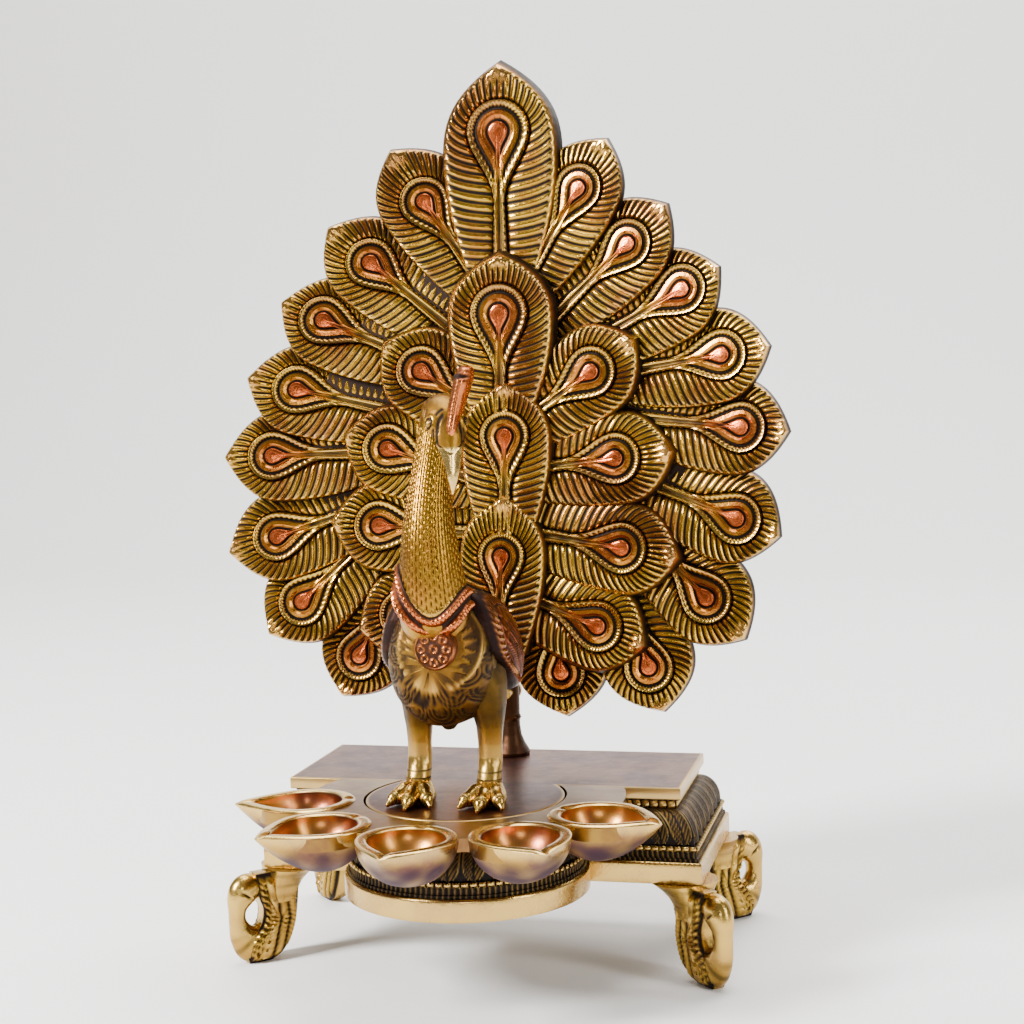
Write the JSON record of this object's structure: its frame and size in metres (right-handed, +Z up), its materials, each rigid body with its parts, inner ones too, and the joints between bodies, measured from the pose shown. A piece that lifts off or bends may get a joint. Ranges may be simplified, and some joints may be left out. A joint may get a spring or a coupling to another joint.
{
  "type": "peacock oil lamp",
  "caption": "Cast brass table oil lamp: a peacock with a raised, feathered tail stands on a footed stool with a tray of leaf-shaped wick cups.",
  "frame": {"origin": "on the surface that the feet stand on, at the middle of the lamp's overall width and depth", "axes": "+Z up, -Y towards the wick cups and the way the bird faces, +X to the right of someone facing the cups"},
  "size_m": [0.2306, 0.1886, 0.3403],
  "materials": {
    "brass": "satin with dark patina in the recesses",
    "bright_brass": "brushed satin",
    "dark_brass": "dark antique patina, highlights rubbed bright",
    "plate_brass": "polished, dark reddish brown lacquer",
    "bird_brass": "satin with olive patina",
    "copper_wash": "copper-coloured wash over brass",
    "fixings": "turned"
  },
  "bodies": {
    "root": {"base_frame": "dark_brass", "swan_foot_front_left": "bright_brass", "swan_foot_front_right": "bright_brass", "swan_foot_rear_left": "bright_brass", "swan_foot_rear_right": "bright_brass", "top_plate": "plate_brass", "lamp_tray": "brass", "bird_body": "bird_brass", "neck_and_head": "bird_brass", "head_crest": "copper_wash", "collar": "copper_wash", "pendant": "copper_wash", "wing_left": "bird_brass", "wing_right": "bird_brass", "leg_left": "bright_brass", "leg_right": "bright_brass", "claw_left": "bright_brass", "claw_right": "bright_brass", "rear_strut": "brass", "fan_casting": "brass", "inner_feathers_left": "brass", "inner_feathers_right": "brass", "centre_feathers": "brass", "plate_screws": "fixings", "foot_nuts": "fixings", "leg_washers": "fixings", "leg_nuts": "fixings", "strut_screw": "fixings", "fan_screws": "fixings", "tail_bolt": "fixings"}
  },
  "joints": []
}
